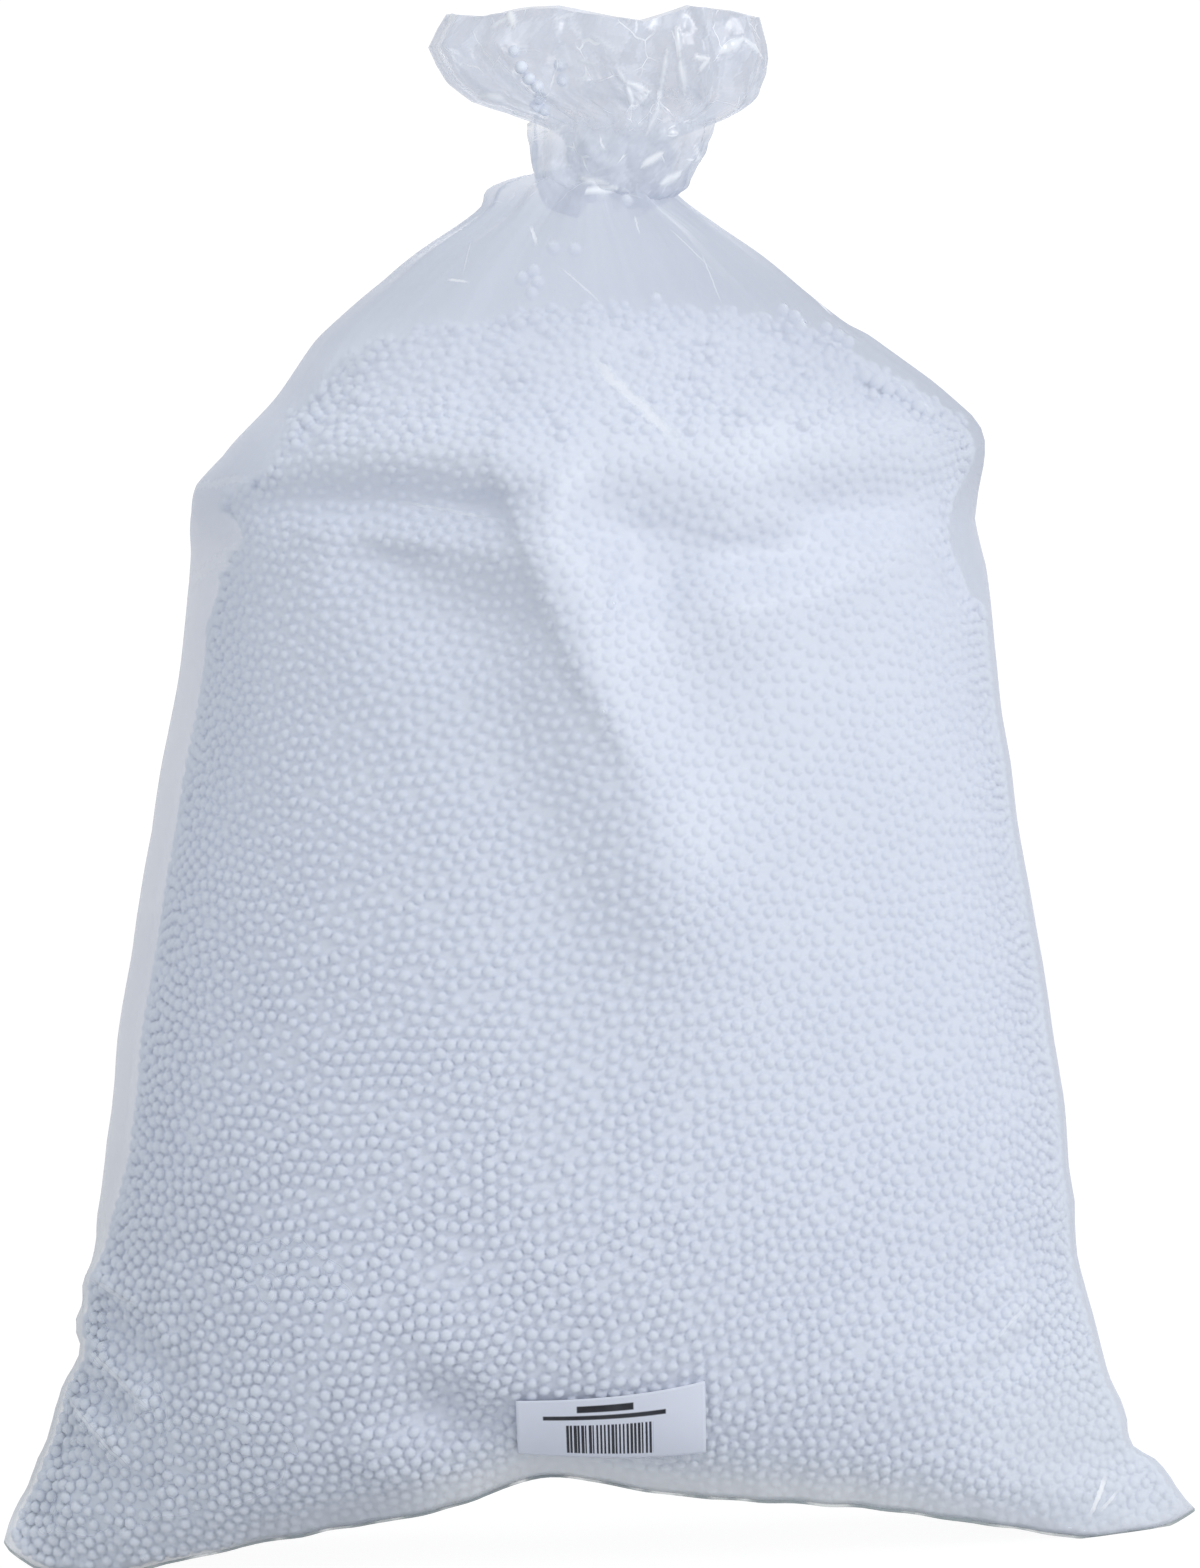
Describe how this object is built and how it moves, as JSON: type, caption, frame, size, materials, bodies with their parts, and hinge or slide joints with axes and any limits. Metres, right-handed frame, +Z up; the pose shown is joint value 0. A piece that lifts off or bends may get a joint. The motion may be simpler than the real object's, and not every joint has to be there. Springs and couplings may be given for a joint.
{
  "type": "bag of polystyrene beads",
  "caption": "Clear plastic film bag filled with white polystyrene beads, gathered and taped at the neck, standing on its two bottom corners.",
  "frame": {"origin": "on the floor under the middle of the film bag's box", "axes": "+Z up along the bag's height, the front with the label towards -Y, +X to the right as seen from the front"},
  "size_m": [0.526, 0.2696, 0.6819],
  "materials": {
    "film": "clear thin polyethylene film with a slight haze, creased and glossy",
    "beads": "matt white expanded polystyrene beads",
    "label": null,
    "tape": "clear adhesive tape"
  },
  "bodies": {
    "root": {"film_bag": "film", "bead_fill": "beads", "label": "label", "neck_tape": "tape", "loose_bead_01": "beads", "loose_bead_02": "beads", "loose_bead_03": "beads", "loose_bead_04": "beads", "loose_bead_05": "beads", "loose_bead_06": "beads", "loose_bead_07": "beads", "loose_bead_08": "beads", "loose_bead_09": "beads", "loose_bead_10": "beads", "loose_bead_11": "beads", "loose_bead_12": "beads", "loose_bead_13": "beads", "loose_bead_14": "beads"}
  },
  "joints": []
}
